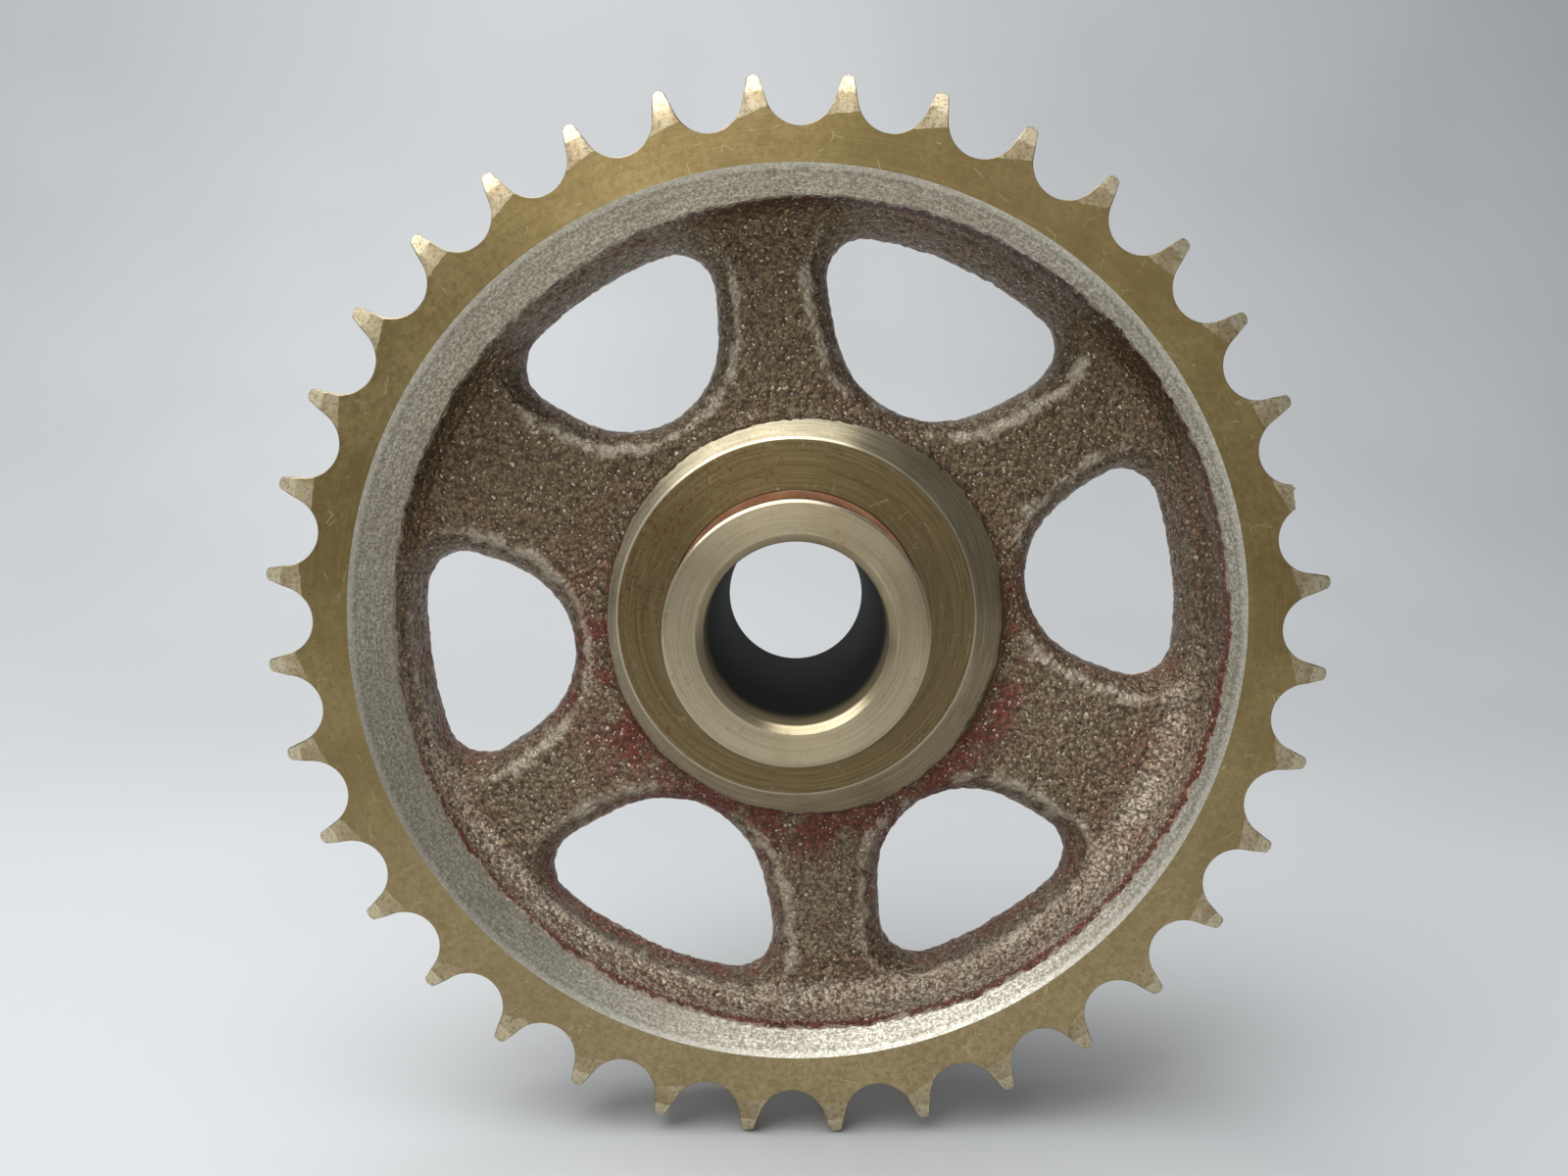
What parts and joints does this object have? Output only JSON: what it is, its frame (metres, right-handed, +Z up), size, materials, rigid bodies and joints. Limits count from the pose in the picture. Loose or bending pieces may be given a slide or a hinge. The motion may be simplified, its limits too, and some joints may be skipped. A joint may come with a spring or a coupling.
{
  "type": "sprocket",
  "caption": "Cast spoked chain wheel with a toothed rim, turning on thin bushes round a steel hub sleeve that clamps on an axle.",
  "frame": {"origin": "on the wheel's axis, in the middle plane of the tooth row (the chain line)", "axes": "+Y along the axis, away from the turned toothed face; +Z up and +X to the right as the toothed face is looked at"},
  "size_m": [0.1134, 0.0476, 0.1134],
  "materials": {
    "cast_wheel": "rough casting with rust, turned on its faces",
    "bush_bronze": "tarnished",
    "sleeve_steel": "fine turned"
  },
  "bodies": {
    "sleeve": {"hub_sleeve": "sleeve_steel"},
    "wheel": {"sprocket_wheel": "cast_wheel", "front_bush": "bush_bronze", "rear_bush": "bush_bronze"}
  },
  "joints": [
    {"name": "wheel_spin", "type": "hinge", "parent": "sleeve", "child": "wheel", "pos_m": [0, 0, 0], "axis": [0, 1, 0], "continuous": true}
  ]
}
